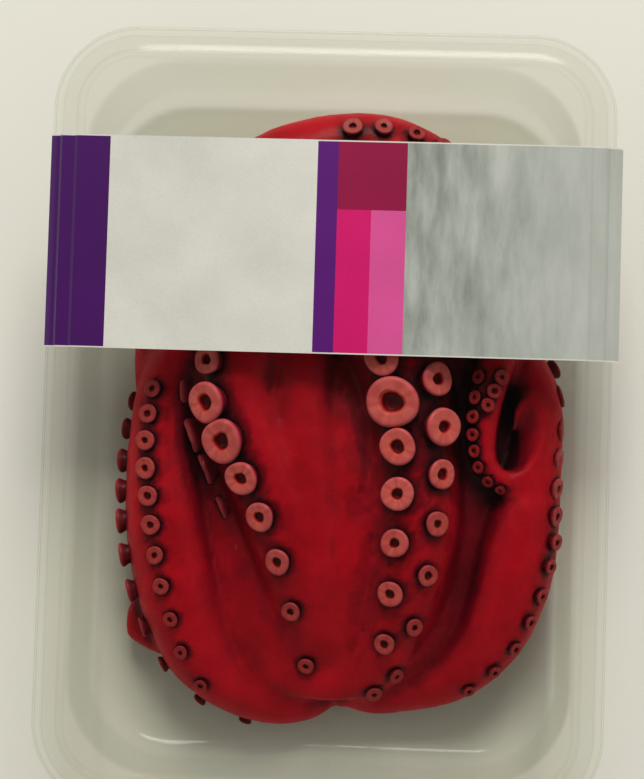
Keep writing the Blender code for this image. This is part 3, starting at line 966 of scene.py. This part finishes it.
def label_field(x, y):
    # Which material covers a spot, given in millimetres from the left and front edges
    length = LABEL_HIGH.y - LABEL_LOW.y
    if y < PAPER_EDGE or y > length - PAPER_EDGE:
        return "label_paper"
    if x < VIOLET_WIDTH:
        return "label_violet"
    if x < PURPLE_STRIP[0]:
        return "label_paper"
    if x < PURPLE_STRIP[1]:
        return "label_purple"
    if x < MAGENTA_COLUMN[1]:
        if y > COLUMN_STEP:
            return "label_crimson"
        return "label_pink" if x < COLUMN_MIDDLE else "label_rose"
    return "label_ripple"


def make_label():
    names = list(LABEL_COLOURS) + ["label_ripple"]
    half_width = TRAY_WIDTH / 2
    left, right = LABEL_LOW.x, LABEL_HIGH.x
    front, back = LABEL_LOW.y, LABEL_HIGH.y
    stations = {left, right}
    insets = [inset for inset, height in label_bends()[1:-1]]
    for inset in insets:
        for x in (inset - half_width, half_width - inset):
            if left < x < right:
                stations.add(x)
    for x in (VIOLET_WIDTH, *PURPLE_STRIP, COLUMN_MIDDLE, MAGENTA_COLUMN[1]):
        stations.add(left + x)
    across = sorted(stations)
    along = [front, front + PAPER_EDGE, front + COLUMN_STEP, back - PAPER_EDGE, back]
    points = []
    faces = []
    slots = []
    for lift in (0.0, LABEL_THICKNESS):
        for y in along:
            points += [(x, y, label_height(x) + lift) for x in across]
    columns, rows = len(across), len(along)
    top = columns * rows
    for row in range(rows - 1):
        for column in range(columns - 1):
            low = row * columns + column
            x = (across[column] + across[column + 1]) / 2 - left
            y = (along[row] + along[row + 1]) / 2 - front
            faces.append((low, low + columns, low + columns + 1, low + 1))
            slots.append(names.index("label_paper"))
            faces.append((top + low, top + low + 1, top + low + columns + 1, top + low + columns))
            slots.append(names.index(label_field(x, y)))
    edge = [column for column in range(columns)]
    edge += [row * columns + columns - 1 for row in range(1, rows)]
    edge += [(rows - 1) * columns + column for column in range(columns - 2, -1, -1)]
    edge += [row * columns for row in range(rows - 2, 0, -1)]
    for start, end in zip(edge, edge[1:] + edge[:1]):
        faces.append((start, end, top + end, top + start))
        slots.append(names.index("label_paper"))
    mesh = mesh_from("label_sheet", points, faces)
    mesh.set_sharp_from_angle(angle=math.radians(30))
    surfaces = [paper_material(name, colour) for name, colour in LABEL_COLOURS.items()]
    surfaces.append(ripple_material())
    label = add_object("label_sheet", mesh, surfaces)
    for polygon, slot in zip(mesh.polygons, slots):
        polygon.material_index = slot
    return label


# The stage

def floor_material():
    nodes = Nodes("table")
    tone = nodes.ramp(nodes.noise(6, 2.0, 0.5), ((0.3, ink(226, 224, 213)), (0.7, ink(230, 228, 218))))
    shader = nodes.add("BsdfPrincipled", {"Base Color": tone, "Roughness": 0.8})
    return nodes.finish(shader.outputs["BSDF"])


def make_stage():
    size = 3000.0
    drop = -0.05
    corners = [(-size, -size, drop), (size, -size, drop), (size, size, drop), (-size, size, drop)]
    floor = add_object("table_top", mesh_from("table_top", corners, [(0, 1, 2, 3)], False), [floor_material()])


def aim(item, place, target, up=Vector((0, 0, 1))):
    place = Vector(place) * MM
    target = Vector(target) * MM
    forward = (target - place).normalized()
    right = forward.cross(up).normalized()
    upright = right.cross(forward)
    item.matrix_world = Matrix((
        (right.x, upright.x, -forward.x, place.x),
        (right.y, upright.y, -forward.y, place.y),
        (right.z, upright.z, -forward.z, place.z),
        (0, 0, 0, 1)))


def make_camera():
    data = bpy.data.cameras.new("camera")
    data.lens = CAMERA_LENS
    data.sensor_width = CAMERA_SENSOR
    data.clip_start = 0.01
    camera = bpy.data.objects.new("camera", data)
    bpy.context.scene.collection.objects.link(camera)
    camera.location = Vector(CAMERA_PLACE) * MM
    camera.rotation_euler = CAMERA_TURN
    bpy.context.scene.camera = camera


def make_light(name, place, target, size, power, colour):
    data = bpy.data.lights.new(name, "AREA")
    data.energy = power
    data.size = size * MM
    data.color = colour
    light = bpy.data.objects.new(name, data)
    bpy.context.scene.collection.objects.link(light)
    aim(light, place, target, Vector((0, 1, 0.01)))


def make_lights():
    make_light("window", (120, 1500, 1300), (0, 0, 20), 900, 34.0, (1.0, 0.985, 0.95))
    world = bpy.data.worlds.new("room")
    bpy.context.scene.world = world
    world.use_nodes = True
    tree = world.node_tree
    background = tree.nodes["Background"]
    place = tree.nodes.new("ShaderNodeTexCoord")
    split = tree.nodes.new("ShaderNodeSeparateXYZ")
    ramp = tree.nodes.new("ShaderNodeValToRGB")
    ramp.color_ramp.elements[0].position = 0.86
    ramp.color_ramp.elements[0].color = (1.0, 0.99, 0.96, 1.0)
    ramp.color_ramp.elements[1].position = 0.955
    ramp.color_ramp.elements[1].color = (0.08, 0.08, 0.08, 1.0)
    tree.links.new(place.outputs["Generated"], split.inputs[0])
    tree.links.new(split.outputs["Z"], ramp.inputs["Fac"])
    tree.links.new(ramp.outputs["Color"], background.inputs["Color"])
    background.inputs["Strength"].default_value = 0.47
    bpy.context.scene.view_settings.view_transform = "Standard"


def main():
    flesh = make_flesh(flesh_material())
    suckers = make_suckers(sucker_material())
    values = openness(flesh.data, (flesh, suckers))
    set_attribute(flesh.data, "openness", values)
    for piece in (flesh, suckers):
        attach(piece, "root")
        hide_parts("octopus")
    tray = make_tray(clear_material(
        "tray_plastic", ink(253, 253, 251), ink(244, 245, 240), ink(214, 216, 205),
        (0.004, 0.015, 0.10), (0.006, 0.03, 0.22), 0.1))
    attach(tray, "root")
    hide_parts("tray")
    film = make_film(clear_material(
        "film_plastic", ink(253, 253, 252), ink(240, 241, 238), ink(220, 221, 214),
        (0.001, 0.005, 0.05), (0.006, 0.02, 0.2), 0.05))
    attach(film, "root")
    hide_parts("film")
    label = make_label()
    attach(label, "root")
    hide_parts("label")
    make_stage()
    make_camera()
    make_lights()


main()
